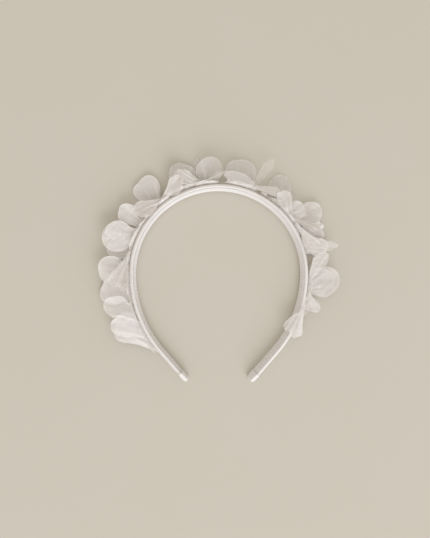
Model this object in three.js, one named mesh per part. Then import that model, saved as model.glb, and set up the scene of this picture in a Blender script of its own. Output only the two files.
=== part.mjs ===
// Flower crown: a springy hair band covered with fabric, with gathered sheer petals sewn to a
// tape along its outer face. Millimetres, +Z up. The band lies on its lower edge on the XY plane,
// the top of the crown towards +Y and the two ends towards -Y.
import * as THREE from 'three';

const DEG = Math.PI / 180;

// ---------------------------------------------------------------- driving dimensions
// The hoop's centreline, one half from the top of the crown to an end; the other half mirrors it.
const CROWN_RADIUS = 59.4;
const CROWN_ANGLE = 90 * DEG;
const CHEEK_RADIUS = 82;
const CHEEK_TURN = 41 * DEG;
const LEG_LENGTH = 21;
const FLARE_RADIUS = 114;
const FLARE_TURN = 3 * DEG;

// The springy strip inside, and the fabric layers round it.
const CORE_WIDTH = 6.4;
const CORE_THICKNESS = 1.2;
const COVER_THICKNESS = 0.4;
const COVER_HEM_GAP = 1.8;
const LINING_WIDTH = 4.6;
const LINING_THICKNESS = 0.4;
const TAPE_WIDTH = 5.6;
const TAPE_THICKNESS = 0.5;
const LAYER_GAP = 0.1;

// The band leans outwards as it rises, a little more towards its right end.
const LEAN_AT_CROWN = 22 * DEG;
const LEAN_TWIST = 11 * DEG;

// The folded tabs that close the two ends.
const TAB_LENGTH = 7;
const TAB_THICKNESS = 0.35;
const TAB_CLEARANCE = 0.3;
const TAB_END_BEVEL = 1.4;
const TAB_END_SCALE = 0.72;
const TIP_NARROWING = 0.28;

// Petals and the thread that holds them.
const PETAL_THICKNESS = 0.5;
const PETAL_STEM = 0.12;
const PETAL_ROUNDNESS = 0.92;
const SEWING_GAP = 0.5;
// The petals are listed for a strip 6.4 wide. Over a wider one they spread, to stay clear of its
// edges; a narrower one leaves them the room they have.
const PETAL_SPREAD = Math.max(1, CORE_WIDTH / 6.4);
const KNOT_RADIUS = 0.8;
const KNOT_GAP = 0.3;

const STATION_STEP = 5;
const PETAL_SPOKES = 6;
const PETAL_RINGS = 4;

// ---------------------------------------------------------------- the flowers
// Each flower sits at a share of the half length from the top of the crown, + to the right.
// Each petal: along the band from the flower's place (mm), up from the middle of the strip (mm),
// out from the tape (mm), turn from the band's outward direction, rise above level and roll about
// its own axis (degrees), then length, width, cup and curl (mm).
const FLOWERS = [
  { name: 'flower_1', place: -0.75, petals: [
    { along: -10.5, up: -1.6, out: 0, turn: -64, rise: 3, roll: 0, length: 28, width: 17, cup: 1, curl: 1 },
    { along: 0, up: 0.4, out: 0, turn: -48, rise: 8, roll: 0, length: 22, width: 17, cup: 1, curl: 1 },
    { along: 14, up: 2.8, out: 0, turn: -38, rise: 18, roll: 0, length: 21, width: 16, cup: 1, curl: 1 },
  ] },
  { name: 'flower_2', place: -0.53, petals: [
    { along: -11, up: -2, out: 0, turn: -16, rise: -3, roll: 0, length: 22, width: 20, cup: 1, curl: 1 },
    { along: 1, up: 0.5, out: 0, turn: -12, rise: 8, roll: 0, length: 21, width: 19, cup: 1, curl: 1 },
    { along: 12, up: 2.4, out: 1, turn: 78, rise: 22, roll: 0, length: 23, width: 13, cup: 2, curl: 1 },
  ] },
  { name: 'flower_3', place: -0.36, petals: [
    { along: -8, up: -2, out: 0, turn: 36, rise: -3, roll: 0, length: 20, width: 17, cup: 1, curl: 0 },
    { along: -4, up: 1, out: 0, turn: 22, rise: 10, roll: 0, length: 24, width: 21, cup: 1, curl: 1 },
    { along: 5, up: -1, out: 0, turn: -4, rise: 6, roll: 0, length: 20, width: 14, cup: 2, curl: 1 },
    { along: 11, up: 2, out: 0, turn: -6, rise: 20, roll: 0, length: 8, width: 6, cup: 1, curl: 1 },
  ] },
  { name: 'flower_4', place: -0.22, petals: [
    { along: -6, up: -1.8, out: 0, turn: -16, rise: 0, roll: 0, length: 25, width: 18, cup: 1, curl: 1 },
    { along: 1, up: 1.8, out: 1.6, turn: 80, rise: 18, roll: 20, length: 21, width: 13, cup: 1, curl: 1 },
    { along: 2, up: 2.6, out: 1.6, turn: -80, rise: 26, roll: -20, length: 19, width: 12, cup: 1, curl: 1 },
  ] },
  { name: 'flower_5', place: -0.09, petals: [
    { along: -4, up: -1.8, out: 0, turn: 2, rise: 0, roll: 0, length: 20, width: 18, cup: 1, curl: 1 },
    { along: 6, up: 1, out: 0, turn: 58, rise: 14, roll: 20, length: 20, width: 11, cup: 1, curl: 1 },
    { along: -11, up: 0.8, out: 0.4, turn: -86, rise: 0, roll: -60, length: 12, width: 4, cup: 0, curl: 0 },
  ] },
  { name: 'flower_6', place: -0.02, petals: [
    { along: -3, up: -2, out: 0, turn: 8, rise: -4, roll: 0, length: 21, width: 12, cup: 0, curl: 0 },
    { along: -2, up: 0.4, out: 0, turn: -2, rise: 8, roll: 0, length: 18, width: 18, cup: 1, curl: 1 },
    { along: -10, up: 3.4, out: 0.8, turn: -80, rise: 10, roll: -70, length: 20, width: 5, cup: 0, curl: 0 },
  ] },
  { name: 'flower_7', place: 0.1, petals: [
    { along: -2, up: -1.8, out: 0, turn: 15, rise: 0, roll: 0, length: 21, width: 20, cup: 1, curl: 1 },
    { along: -5, up: 2, out: 0.4, turn: -4, rise: 58, roll: 0, length: 14, width: 22, cup: 1, curl: 1 },
    { along: 5, up: 1, out: 0, turn: -10, rise: 12, roll: 30, length: 24, width: 8, cup: 1, curl: 0 },
    { along: 0, up: 3.3, out: 1.4, turn: -86, rise: 9, roll: -40, length: 24, width: 9, cup: 0, curl: 0 },
    { along: 13, up: 0.8, out: 1, turn: -84, rise: 12, roll: -50, length: 13, width: 6, cup: 0, curl: 0 },
  ] },
  { name: 'flower_8', place: 0.27, petals: [
    { along: -6, up: -2, out: 0, turn: 26, rise: -2, roll: 0, length: 22, width: 16, cup: 1, curl: 0 },
    { along: 6, up: 2.6, out: 1, turn: 72, rise: 20, roll: 0, length: 20, width: 10, cup: 1, curl: 1 },
    { along: 2, up: 0.6, out: 0, turn: -18, rise: 18, roll: 0, length: 15, width: 12, cup: 1, curl: 1 },
    { along: 8, up: -1.8, out: 0, turn: -16, rise: 2, roll: 0, length: 24, width: 17, cup: 1, curl: 1 },
    { along: 4, up: 1.4, out: 1, turn: -66, rise: 14, roll: -50, length: 22, width: 9, cup: 0, curl: 0 },
  ] },
  { name: 'flower_9', place: 0.38, petals: [
    { along: -6, up: -2, out: 0, turn: -34, rise: -3, roll: 0, length: 22, width: 12, cup: 0, curl: 0 },
    { along: -6, up: 2.4, out: 1, turn: -82, rise: 18, roll: -10, length: 21, width: 11, cup: 1, curl: 0 },
    { along: 4, up: 0.6, out: 0, turn: -28, rise: 9, roll: 30, length: 23, width: 8, cup: 1, curl: 0 },
    { along: 8, up: -0.8, out: 0, turn: -12, rise: 1, roll: 0, length: 17, width: 13, cup: 0, curl: 0 },
  ] },
  { name: 'flower_10', place: 0.57, petals: [
    { along: -5, up: -2, out: 0, turn: 30, rise: -4, roll: 0, length: 18, width: 15, cup: 0, curl: 0 },
    { along: -3, up: 2, out: 0, turn: 66, rise: 18, roll: 0, length: 22, width: 10, cup: 1, curl: 1 },
    { along: 1, up: 0.2, out: 0, turn: 26, rise: 7, roll: 0, length: 22, width: 21, cup: 1, curl: 1 },
    { along: 5, up: 1.8, out: 0, turn: -56, rise: 10, roll: 0, length: 14, width: 10, cup: 1, curl: 1 },
    { along: 12, up: -1, out: 0, turn: 6, rise: 0, roll: 0, length: 10, width: 6, cup: 0, curl: 0 },
  ] },
  { name: 'flower_11', place: 0.66, petals: [
    { along: -6, up: 5.4, out: -2, turn: -103, rise: 3, roll: 0, length: 25, width: 12, cup: -1, curl: 0 },
    { along: 1, up: 1, out: 1, turn: -80, rise: 6, roll: -50, length: 17, width: 7, cup: 0, curl: 0 },
  ] },
];

// ---------------------------------------------------------------- the hoop's centreline
// Each stretch turns towards the head by 1 / radius; a negative radius turns away from it.
const STRETCHES = [
  { length: CROWN_RADIUS * CROWN_ANGLE, radius: CROWN_RADIUS },
  { length: CHEEK_RADIUS * CHEEK_TURN, radius: CHEEK_RADIUS },
  { length: LEG_LENGTH, radius: Infinity },
  { length: FLARE_RADIUS * FLARE_TURN, radius: -FLARE_RADIUS },
];
const HALF_LENGTH = STRETCHES.reduce((sum, stretch) => sum + stretch.length, 0);

// Point and outward direction of the centreline at a distance from the top of the crown.
function hoopPoint(distance) {
  const side = distance < 0 ? -1 : 1;
  let left = Math.abs(distance);
  let x = 0;
  let y = CROWN_RADIUS;
  let heading = 0;
  for (const { length, radius } of STRETCHES) {
    const run = Math.min(left, length);
    if (radius === Infinity) {
      x += run * Math.cos(heading);
      y += run * Math.sin(heading);
    } else {
      const next = heading - run / radius;
      x += radius * (Math.sin(heading) - Math.sin(next));
      y += radius * (Math.cos(next) - Math.cos(heading));
      heading = next;
    }
    left -= run;
    if (left <= 0) break;
  }
  return { x: side * x, y, outX: -side * Math.sin(heading), outY: Math.cos(heading) };
}

// ---------------------------------------------------------------- the strip's section
// Distances across the layers, from the middle of the core: inner faces negative, outer positive.
const COVER_IN = CORE_THICKNESS / 2 + LAYER_GAP;
const COVER_OUT = COVER_IN + COVER_THICKNESS;
const LINING_IN = COVER_OUT + LAYER_GAP;
const LINING_OUT = LINING_IN + LINING_THICKNESS;
const TAPE_OUT = COVER_OUT + LAYER_GAP + TAPE_THICKNESS;
const COVER_HALF_IN = CORE_WIDTH / 2 + LAYER_GAP;
const COVER_HALF = COVER_HALF_IN + COVER_THICKNESS;

function leanAt(distance) {
  return LEAN_AT_CROWN + LEAN_TWIST * distance / HALF_LENGTH;
}

// The share of the full width that the strip keeps: it narrows evenly over the tabs to the tips.
function widthShareAt(distance) {
  const intoTab = (Math.abs(distance) - HALF_LENGTH + TAB_LENGTH) / TAB_LENGTH;
  return 1 - TIP_NARROWING * Math.min(1, Math.max(0, intoTab));
}

// A place on the strip: distance along it, offset across its layers (+ outwards) and offset up
// its width. The strip's lowest corner always touches Z = 0.
function stripPoint(distance, across, up) {
  const { x, y, outX, outY } = hoopPoint(distance);
  const lean = leanAt(distance);
  const widthShare = widthShareAt(distance);
  const upThere = up * widthShare;
  const out = across * Math.cos(lean) + upThere * Math.sin(lean);
  const middle = COVER_HALF * widthShare * Math.cos(lean) + COVER_OUT * Math.sin(lean);
  const z = middle + upThere * Math.cos(lean) - across * Math.sin(lean);
  return new THREE.Vector3(x + out * outX, y + out * outY, z);
}

// ---------------------------------------------------------------- mesh helpers
// A closed body from points and triangles, turned so that its faces point outwards.
function closedBody(points, triangles) {
  let volume = 0;
  for (const [a, b, c] of triangles) {
    volume += points[a].dot(points[b].clone().cross(points[c]));
  }
  const index = triangles.flatMap(([a, b, c]) => (volume > 0 ? [a, b, c] : [a, c, b]));
  const geometry = new THREE.BufferGeometry();
  const positions = points.flatMap((point) => [point.x, point.y, point.z]);
  geometry.setAttribute('position', new THREE.Float32BufferAttribute(positions, 3));
  geometry.setIndex(index);
  geometry.computeVertexNormals();
  return geometry;
}

// Triangles that join two neighbouring rings of equal size.
function ringWall(first, second, size) {
  const triangles = [];
  for (let i = 0; i < size; i += 1) {
    const j = (i + 1) % size;
    triangles.push([first + i, first + j, second + j], [first + i, second + j, second + i]);
  }
  return triangles;
}

function capTriangles(section, start, reversed) {
  const outline = section.map(([across, up]) => new THREE.Vector2(across, up));
  const faces = THREE.ShapeUtils.triangulateShape(outline, []);
  return faces.map(([a, b, c]) => (reversed
    ? [start + a, start + c, start + b]
    : [start + a, start + b, start + c]));
}

function stations(from, to) {
  const count = Math.max(1, Math.round((to - from) / STATION_STEP));
  return Array.from({ length: count + 1 }, (_, i) => from + (to - from) * i / count);
}

// A section of [across, up] points carried along the strip.
function stripSweep(section, from, to) {
  const size = section.length;
  const places = stations(from, to);
  const points = places.flatMap((s) => section.map(([across, up]) => stripPoint(s, across, up)));
  const triangles = [];
  for (let i = 0; i + 1 < places.length; i += 1) {
    triangles.push(...ringWall(i * size, (i + 1) * size, size));
  }
  triangles.push(...capTriangles(section, 0, true));
  triangles.push(...capTriangles(section, (places.length - 1) * size, false));
  return closedBody(points, triangles);
}

function rectangle(fromAcross, toAcross, half) {
  return [[fromAcross, -half], [toAcross, -half], [toAcross, half], [fromAcross, half]];
}

// A cup on the strip's end: open at `mouth`, closed at `end`, with a pocket for the strip.
function endTab(mouth, end, inner, outer) {
  const outwards = Math.sign(end - mouth);
  const rings = [
    [outer, end, TAB_END_SCALE],
    [outer, end - outwards * TAB_END_BEVEL, 1],
    [outer, mouth, 1],
    [inner, mouth, 1],
    [inner, end - outwards * TAB_THICKNESS, 1],
  ];
  const size = outer.length;
  const points = rings.flatMap(([section, s, scale]) => (
    section.map(([across, up]) => stripPoint(s, across * scale, up * scale))));
  const triangles = [];
  for (let i = 0; i + 1 < rings.length; i += 1) {
    triangles.push(...ringWall(i * size, (i + 1) * size, size));
  }
  triangles.push(...capTriangles(outer, 0, true));
  triangles.push(...capTriangles(inner, (rings.length - 1) * size, false));
  return closedBody(points, triangles);
}

// ---------------------------------------------------------------- petals
// The direction of a petal: along its axis, across it and away from its lower face.
function petalAxes(distance, turn, rise, roll) {
  const { outX, outY } = hoopPoint(distance);
  const azimuth = Math.atan2(outY, outX) + turn * DEG;
  const elevation = rise * DEG;
  const along = new THREE.Vector3(
    Math.cos(azimuth) * Math.cos(elevation),
    Math.sin(azimuth) * Math.cos(elevation),
    Math.sin(elevation),
  );
  const level = new THREE.Vector3(-Math.sin(azimuth), Math.cos(azimuth), 0);
  const above = along.clone().cross(level);
  const across = level.clone().multiplyScalar(Math.cos(roll * DEG))
    .addScaledVector(above, Math.sin(roll * DEG));
  return { along, across, away: along.clone().cross(across) };
}

// A gathered petal: a disc whose one side is drawn to a point. Spokes fan out from the point as
// far as a circle that the two straight sides touch, and a wide petal is stretched sideways.
function petalBody(distance, petal) {
  const { length, width, cup, curl } = petal;
  const stretch = Math.max(1, width / (PETAL_ROUNDNESS * length));
  const radius = width / (2 * stretch);
  const centre = length - radius;
  const fan = Math.asin(Math.min(1, radius / centre));
  const base = stripPoint(distance, TAPE_OUT + SEWING_GAP + petal.out, petal.up * PETAL_SPREAD);
  const axes = petalAxes(distance, petal.turn, petal.rise, petal.roll);
  const sheet = [];
  const row = PETAL_SPOKES + 1;
  for (let i = 0; i <= PETAL_RINGS; i += 1) {
    const share = PETAL_STEM + (1 - PETAL_STEM) * i / PETAL_RINGS;
    for (let j = 0; j < row; j += 1) {
      const angle = fan * (2 * j / PETAL_SPOKES - 1);
      const drop = Math.max(0, radius ** 2 - (centre * Math.sin(angle)) ** 2);
      const reach = share * (centre * Math.cos(angle) + Math.sqrt(drop));
      const p = reach * Math.cos(angle);
      const q = stretch * reach * Math.sin(angle);
      const lift = cup * (2 * q / width) ** 2 * (p / length) + curl * (p / length) ** 2;
      sheet.push(base.clone().addScaledVector(axes.along, p)
        .addScaledVector(axes.across, q).addScaledVector(axes.away, lift));
    }
  }
  const half = axes.away.clone().multiplyScalar(PETAL_THICKNESS / 2);
  const points = [...sheet.map((v) => v.clone().add(half)), ...sheet.map((v) => v.clone().sub(half))];
  const under = sheet.length;
  const triangles = [];
  for (let i = 0; i < PETAL_RINGS; i += 1) {
    for (let j = 0; j < PETAL_SPOKES; j += 1) {
      const a = i * row + j;
      const quad = [a, a + row, a + row + 1, a + 1];
      triangles.push([quad[0], quad[1], quad[2]], [quad[0], quad[2], quad[3]]);
      triangles.push([under + quad[0], under + quad[2], under + quad[1]]);
      triangles.push([under + quad[0], under + quad[3], under + quad[2]]);
    }
  }
  const last = PETAL_RINGS * row;
  const rim = [];
  for (let j = 0; j < row; j += 1) rim.push(j);
  for (let i = 1; i <= PETAL_RINGS; i += 1) rim.push(i * row + PETAL_SPOKES);
  for (let j = PETAL_SPOKES - 1; j >= 0; j -= 1) rim.push(last + j);
  for (let i = PETAL_RINGS - 1; i > 0; i -= 1) rim.push(i * row);
  rim.forEach((a, i) => {
    const b = rim[(i + 1) % rim.length];
    triangles.push([a, b, under + b], [a, under + b, under + a]);
  });
  return closedBody(points, triangles);
}

// ---------------------------------------------------------------- materials
function finish(colour, roughness) {
  return new THREE.MeshStandardMaterial({ color: colour, roughness, metalness: 0 });
}
const CORE_PLASTIC = finish('#e9e6de', 0.45);
const COVER_FABRIC = finish('#e6dcd8', 0.6);
const LINING_FABRIC = finish('#d3cac4', 0.8);
const TAPE_FABRIC = finish('#e2d9d2', 0.75);
const PETAL_ORGANZA = finish('#ddd3cd', 0.7);
const THREAD = finish('#ece6df', 0.8);

// ---------------------------------------------------------------- the assembly
const crown = new THREE.Group();

function add(name, geometry, material) {
  const mesh = new THREE.Mesh(geometry, material);
  mesh.name = name;
  crown.add(mesh);
}

const BAND_END = HALF_LENGTH - TAB_THICKNESS - TAB_CLEARANCE;
const TRIM_END = HALF_LENGTH - TAB_LENGTH - TAB_CLEARANCE;

add('band_core', stripSweep(
  rectangle(-CORE_THICKNESS / 2, CORE_THICKNESS / 2, CORE_WIDTH / 2), -BAND_END, BAND_END,
), CORE_PLASTIC);

// The cover wraps round the core from outside; its two hems stop short of each other inside.
const hem = COVER_HEM_GAP / 2;
add('band_cover', stripSweep([
  [-COVER_OUT, -hem], [-COVER_OUT, -COVER_HALF], [COVER_OUT, -COVER_HALF], [COVER_OUT, COVER_HALF],
  [-COVER_OUT, COVER_HALF], [-COVER_OUT, hem], [-COVER_IN, hem], [-COVER_IN, COVER_HALF_IN],
  [COVER_IN, COVER_HALF_IN], [COVER_IN, -COVER_HALF_IN], [-COVER_IN, -COVER_HALF_IN], [-COVER_IN, -hem],
], -BAND_END, BAND_END), COVER_FABRIC);

add('band_lining', stripSweep(
  rectangle(-LINING_OUT, -LINING_IN, LINING_WIDTH / 2), -TRIM_END, TRIM_END,
), LINING_FABRIC);
add('petal_tape', stripSweep(
  rectangle(COVER_OUT + LAYER_GAP, TAPE_OUT, TAPE_WIDTH / 2), -TRIM_END, TRIM_END,
), TAPE_FABRIC);

const pocket = COVER_OUT + LAYER_GAP;
const pocketHalf = COVER_HALF + LAYER_GAP;
for (const [name, side] of [['end_tab_left', -1], ['end_tab_right', 1]]) {
  add(name, endTab(
    side * (HALF_LENGTH - TAB_LENGTH), side * HALF_LENGTH,
    rectangle(-pocket, pocket, pocketHalf),
    rectangle(-pocket - TAB_THICKNESS, pocket + TAB_THICKNESS, pocketHalf + TAB_THICKNESS),
  ), COVER_FABRIC);
}

for (const { name, place, petals } of FLOWERS) {
  const middle = place * HALF_LENGTH;
  petals.forEach((petal, i) => {
    add(`${name}_petal_${i + 1}`, petalBody(middle + petal.along, petal), PETAL_ORGANZA);
  });
  const knot = new THREE.IcosahedronGeometry(KNOT_RADIUS, 0);
  const knotOut = TAPE_OUT + KNOT_GAP + KNOT_RADIUS;
  knot.translate(...stripPoint(middle, knotOut, KNOT_RADIUS - TAPE_WIDTH / 2));
  add(`${name}_knot`, knot, THREAD);
}

// The origin is the middle of the object's footprint, on the surface that it lies on.
const bounds = new THREE.Box3().setFromObject(crown);
const footprint = bounds.getCenter(new THREE.Vector3());
crown.position.set(-footprint.x, -footprint.y, -bounds.min.z);
crown.updateMatrixWorld(true);

export default crown;
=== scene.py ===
# %% [markdown]
# # A flower crown in sheer petals
# A springy hair band is wrapped in pale cloth, lined with a ribbed ribbon where it meets the hair,
# and trimmed along its outer face with gathered petals of a sheer, crisp cloth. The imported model
# is loaded first and never moved: every piece made below takes its place from it.

# %% Load the fixed frame
from collections import namedtuple

import bpy
import numpy as np
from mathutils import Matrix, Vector


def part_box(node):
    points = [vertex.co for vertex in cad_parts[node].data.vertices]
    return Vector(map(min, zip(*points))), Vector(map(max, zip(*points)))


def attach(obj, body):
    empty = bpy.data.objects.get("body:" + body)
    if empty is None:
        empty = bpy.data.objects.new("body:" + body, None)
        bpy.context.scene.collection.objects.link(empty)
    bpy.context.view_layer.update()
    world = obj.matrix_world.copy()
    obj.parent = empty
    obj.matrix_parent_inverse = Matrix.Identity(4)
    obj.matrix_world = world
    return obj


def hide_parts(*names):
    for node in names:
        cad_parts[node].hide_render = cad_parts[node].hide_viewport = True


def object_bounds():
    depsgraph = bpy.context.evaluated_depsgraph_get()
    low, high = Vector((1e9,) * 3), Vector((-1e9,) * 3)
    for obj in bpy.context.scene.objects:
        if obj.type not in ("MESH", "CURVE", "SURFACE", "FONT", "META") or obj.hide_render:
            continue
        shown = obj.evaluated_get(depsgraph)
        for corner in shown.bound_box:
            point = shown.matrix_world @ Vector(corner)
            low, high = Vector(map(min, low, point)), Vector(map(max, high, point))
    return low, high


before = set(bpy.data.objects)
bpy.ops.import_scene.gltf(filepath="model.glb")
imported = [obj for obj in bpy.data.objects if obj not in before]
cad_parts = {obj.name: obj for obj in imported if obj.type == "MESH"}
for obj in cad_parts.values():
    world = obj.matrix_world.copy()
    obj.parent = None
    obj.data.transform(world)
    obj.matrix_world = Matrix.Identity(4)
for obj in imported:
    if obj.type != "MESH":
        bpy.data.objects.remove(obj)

MM = 0.001
cad_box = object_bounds()
print(f"{len(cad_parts)} nodes in a box of {[round(x / MM, 1) for x in cad_box[1] - cad_box[0]]} mm")

# %% [markdown]
# ## The camera and the light
# The crown lies on a table and is seen from straight above. One big soft lamp stands low beyond
# the open end, so each raised edge throws a short soft shadow towards the crown's top, and an
# even sky fills the rest. Thin pale cloth needs both: without the low lamp the folds don't show,
# and without the sky the layers turn muddy.

# %% Camera
SEEN_LENGTH = 374 * MM
CAMERA_LENS = 50
CAMERA_SENSOR = 36
AIM_OFFSET = Vector((-2.09, 0.38, -4.9)) * MM

aim = (cad_box[0] + cad_box[1]) / 2 + AIM_OFFSET
camera = bpy.data.objects.new("camera", bpy.data.cameras.new("camera"))
camera.data.lens = CAMERA_LENS
camera.data.sensor_width = CAMERA_SENSOR
camera.data.clip_start = 10 * MM
camera.location = aim + Vector((0, 0, SEEN_LENGTH * CAMERA_LENS / CAMERA_SENSOR))
bpy.context.scene.collection.objects.link(camera)
bpy.context.scene.camera = camera
bpy.context.scene.view_settings.view_transform = "Standard"
bpy.context.scene.cycles.transparent_max_bounces = 48
print(f"camera {camera.location.z / MM:.0f} mm up, looking straight down")

# %% Lights
LAMP_DISTANCE = 4.0
LAMP_HEIGHT_ANGLE = np.radians(31)
LAMP_SIDE_ANGLE = np.radians(20)
LAMP_SIZE = 3.0
LAMP_POWER = 107.0
SKY_STRENGTH = 0.71


def place_lamp(name, side_angle, height_angle, size, power, colour):
    """A square soft lamp: its place is the aim plus its distance along the direction that the two
    angles give, and it is turned so that its face looks back at the aim."""
    back = Vector((np.sin(side_angle) * np.cos(height_angle),
                   -np.cos(side_angle) * np.cos(height_angle), np.sin(height_angle)))
    lamp = bpy.data.objects.new(name, bpy.data.lights.new(name, "AREA"))
    lamp.data.size = size
    lamp.data.energy = power
    lamp.data.color = colour
    lamp.location = aim + back * LAMP_DISTANCE
    lamp.rotation_mode = "QUATERNION"
    lamp.rotation_quaternion = (-back).to_track_quat("-Z", "Y")
    lamp.visible_camera = False
    bpy.context.scene.collection.objects.link(lamp)


place_lamp("soft_window", LAMP_SIDE_ANGLE, LAMP_HEIGHT_ANGLE, LAMP_SIZE, LAMP_POWER, (0.86, 0.91, 1.0))
sky = bpy.data.worlds.new("even_sky")
bpy.context.scene.world = sky
sky.use_nodes = True
sky.node_tree.nodes["Background"].inputs["Color"].default_value = (1.0, 0.948, 0.872, 1)
sky.node_tree.nodes["Background"].inputs["Strength"].default_value = SKY_STRENGTH
print(f"one lamp of {LAMP_POWER} W and a sky of strength {SKY_STRENGTH}")

# %% [markdown]
# ## Shared finishes
# Every cloth here is woven, and its colour is never quite even. Both effects are needed by more
# than one material, so each is a node group, built once and given its own values wherever it is
# used. A group gives out only values and colours; the shader stays in the material.


# %% Node helpers
def add_node(tree, kind, inputs=None, **settings):
    """One node of that kind, with its settings, and its input sockets set to plain values or
    linked from other nodes' output sockets."""
    node = tree.nodes.new(kind)
    for name, value in settings.items():
        setattr(node, name, value)
    for name, value in (inputs or {}).items():
        if isinstance(value, bpy.types.NodeSocket):
            tree.links.new(value, node.inputs[name])
        else:
            node.inputs[name].default_value = value
    return node


def maths(tree, operation, *values):
    """The output of a Math node that works on the values in order."""
    node = add_node(tree, "ShaderNodeMath", operation=operation)
    for i, value in enumerate(values):
        if isinstance(value, bpy.types.NodeSocket):
            tree.links.new(value, node.inputs[i])
        else:
            node.inputs[i].default_value = value
    return node.outputs[0]


def new_group(name, inputs, outputs):
    """An empty shader node group with those named sockets, and its input and output nodes."""
    tree = bpy.data.node_groups.new(name, "ShaderNodeTree")
    for socket, kind in inputs:
        tree.interface.new_socket(socket, in_out="INPUT", socket_type=kind)
    for socket, kind in outputs:
        tree.interface.new_socket(socket, in_out="OUTPUT", socket_type=kind)
    return tree, tree.nodes.new("NodeGroupInput"), tree.nodes.new("NodeGroupOutput")


def place_group(tree, group, inputs):
    """A copy of a group in a material's tree, with its own values."""
    node = add_node(tree, "ShaderNodeGroup", node_tree=group)
    for name, value in inputs.items():
        if isinstance(value, bpy.types.NodeSocket):
            tree.links.new(value, node.inputs[name])
        else:
            node.inputs[name].default_value = value
    return node


# %% The plain weave group
def make_weave():
    """Plain weave. Along x and y a thread is the absolute cosine of half a turn per thread, high
    in its middle and zero at its edges. Which of the two lies on top swaps at every crossing: it
    is told by whether the two whole thread counts add up to an even number."""
    tree, given, result = new_group(
        "plain_weave",
        (("Place", "NodeSocketVector"), ("Threads per metre", "NodeSocketFloat")),
        (("Height", "NodeSocketFloat"),))
    scaled = add_node(tree, "ShaderNodeVectorMath", operation="SCALE",
                      inputs={0: given.outputs["Place"], "Scale": given.outputs["Threads per metre"]})
    axes = add_node(tree, "ShaderNodeSeparateXYZ", inputs={0: scaled.outputs[0]})
    threads = [maths(tree, "ABSOLUTE", maths(tree, "COSINE", maths(tree, "MULTIPLY", axes.outputs[i], np.pi)))
               for i in (0, 1)]
    counts = [maths(tree, "ROUND", axes.outputs[i]) for i in (0, 1)]
    on_top = maths(tree, "FLOORED_MODULO", maths(tree, "ADD", *counts), 2.0)
    mixed = add_node(tree, "ShaderNodeMix", data_type="FLOAT",
                     inputs={"Factor": on_top, "A": threads[0], "B": threads[1]})
    tree.links.new(mixed.outputs["Result"], result.inputs["Height"])
    return tree


weave = make_weave()
print(f"group {weave.name}: {len(weave.nodes)} nodes")


# %% The uneven colour group
def make_uneven():
    """Uneven colour. Soft clouds of noise mix a light and a shaded colour, and a much finer noise
    adds the fuzz of the fibres on top."""
    tree, given, result = new_group(
        "uneven_colour",
        (("Place", "NodeSocketVector"), ("Clouds per metre", "NodeSocketFloat"),
         ("Light", "NodeSocketColor"), ("Shaded", "NodeSocketColor")),
        (("Colour", "NodeSocketColor"), ("Fuzz", "NodeSocketFloat")))
    clouds = add_node(tree, "ShaderNodeTexNoise",
                      inputs={"Vector": given.outputs["Place"], "Scale": given.outputs["Clouds per metre"],
                              "Detail": 3.0, "Roughness": 0.55})
    fuzz = add_node(tree, "ShaderNodeTexNoise",
                    inputs={"Vector": given.outputs["Place"], "Scale": 2600.0, "Detail": 2.0})
    blend = maths(tree, "ADD", maths(tree, "MULTIPLY", clouds.outputs["Fac"], 0.8),
                  maths(tree, "MULTIPLY", fuzz.outputs["Fac"], 0.2))
    mixed = add_node(tree, "ShaderNodeMix", data_type="RGBA",
                     inputs={"Factor": blend, 6: given.outputs["Shaded"], 7: given.outputs["Light"]})
    tree.links.new(mixed.outputs[2], result.inputs["Colour"])
    tree.links.new(fuzz.outputs["Fac"], result.inputs["Fuzz"])
    return tree


uneven = make_uneven()
print(f"group {uneven.name}: {len(uneven.nodes)} nodes")


# %% What every material starts from
def start_material(name, roughness, sheen=0.0, sheen_roughness=0.5):
    """A material with one Principled shader, its constant values set on its own sockets, and the
    places that patterns read: the piece's own points, and its cloth map in metres."""
    material = bpy.data.materials.new(name)
    material.use_nodes = True
    tree = material.node_tree
    shader = tree.nodes["Principled BSDF"]
    shader.inputs["Roughness"].default_value = roughness
    shader.inputs["Specular IOR Level"].default_value = 0.35
    shader.inputs["Sheen Weight"].default_value = sheen
    shader.inputs["Sheen Roughness"].default_value = sheen_roughness
    place = add_node(tree, "ShaderNodeTexCoord").outputs["Object"]
    cloth = add_node(tree, "ShaderNodeUVMap", uv_map="cloth").outputs["UV"]
    return material, tree, shader, place, cloth


def raise_surface(tree, shader, height, distance, strength):
    """A Bump node from a height in 0 to 1 to the shader's normal."""
    bump = add_node(tree, "ShaderNodeBump",
                    inputs={"Strength": strength, "Distance": distance, "Height": height})
    tree.links.new(bump.outputs["Normal"], shader.inputs["Normal"])


# %% [markdown]
# ## The floor
# A plain pale table top. It isn't part of the object. A little noise in its colour keeps it
# from looking like an empty background.

# %% Floor
FLOOR_HALF = 4.0


def make_floor():
    """A flat square at height 0 with a matt, faintly uneven colour."""
    material, tree, shader, place, _ = start_material("table_top", 0.9)
    colour = place_group(tree, uneven, {"Place": place, "Clouds per metre": 9.0,
                                        "Light": (0.640, 0.604, 0.532, 1),
                                        "Shaded": (0.615, 0.575, 0.492, 1)})
    tree.links.new(colour.outputs["Colour"], shader.inputs["Base Color"])
    mesh = bpy.data.meshes.new("table_top")
    corners = np.array([(-1, -1, 0), (1, -1, 0), (1, 1, 0), (-1, 1, 0)]) * FLOOR_HALF
    mesh.from_pydata(corners, [], [(0, 1, 2, 3)])
    mesh.materials.append(material)
    floor = bpy.data.objects.new("table_top", mesh)
    bpy.context.scene.collection.objects.link(floor)


make_floor()
print("floor at z = 0")

# %% [markdown]
# ## The line of the band
# The real band is a flat springy strip, bent over a form: a round crown, cheeks that close in,
# straight legs and ends that flare out a little. Its centreline is a chain of arcs, so it is
# worked out by a formula instead of a list of points, with the same driving sizes as the frame.

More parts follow.
